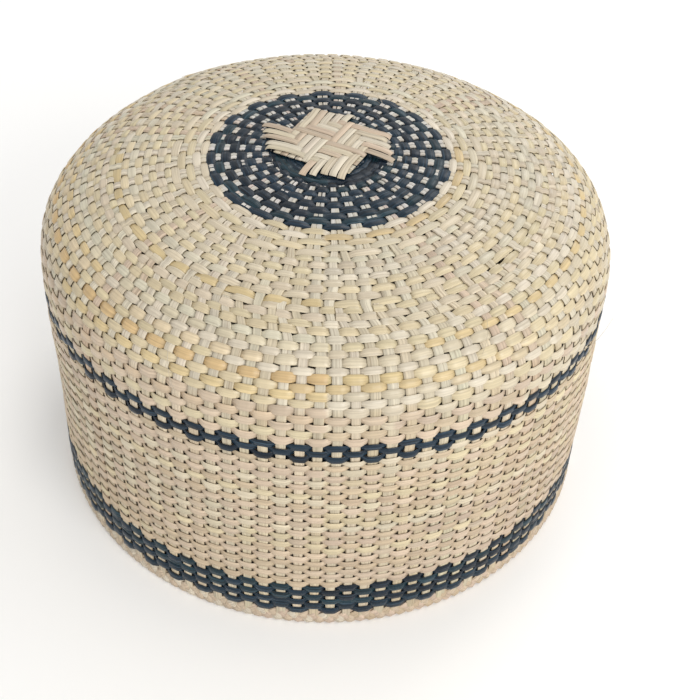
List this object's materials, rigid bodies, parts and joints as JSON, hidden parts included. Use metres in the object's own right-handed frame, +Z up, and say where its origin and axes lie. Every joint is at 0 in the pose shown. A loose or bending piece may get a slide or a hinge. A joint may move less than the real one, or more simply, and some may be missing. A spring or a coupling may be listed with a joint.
{
  "type": "sewing basket",
  "caption": "Round woven sewing basket with a deep flat-domed lift-off cover, a navy medallion and bands, a braided rim and a cloth-lined inner basket.",
  "frame": {"origin": "centre of the circle that the closed basket stands on", "axes": "+Z up through the middle of the crown, the axis that every round piece is turned about; -Y is the side seen in front"},
  "size_m": [0.2408, 0.2408, 0.1532],
  "materials": {
    "crown_cane": "semi-gloss split cane, cream straw with golden strips",
    "wall_cane": "satin split cane, pinkish straw",
    "navy_cane": "satin dyed split cane, navy",
    "stake_cane": "satin split cane, greyish straw with lengthwise fibres",
    "border_cane": "satin split cane, pinkish, braided",
    "star_cane": "satin split cane, pinkish cream",
    "lining_cloth": "plain-woven cotton, natural"
  },
  "bodies": {
    "basket": {"basket_floor_centre": "star_cane", "basket_floor_weave": "crown_cane", "basket_wall_weave": "wall_cane", "basket_wall_band": "navy_cane", "basket_mouth_border": "border_cane", "basket_stakes": "stake_cane", "basket_foot_ring": "border_cane", "lining_wall": "lining_cloth", "lining_hem": "lining_cloth", "lining_floor_pad": "lining_cloth"},
    "cover": {"cover_star": "star_cane", "cover_medallion": "navy_cane", "cover_crown_weave": "crown_cane", "cover_shoulder_weave": "crown_cane", "cover_upper_wall_weave": "crown_cane", "cover_chain_band": "navy_cane", "cover_lower_wall_weave": "wall_cane", "cover_foot_band": "navy_cane", "cover_rim_border": "border_cane", "cover_stakes": "stake_cane"}
  },
  "joints": [
    {"name": "cover_lift", "type": "slide", "parent": "basket", "child": "cover", "axis": [0, 0, 1], "range_m": [0, 0.14]}
  ]
}
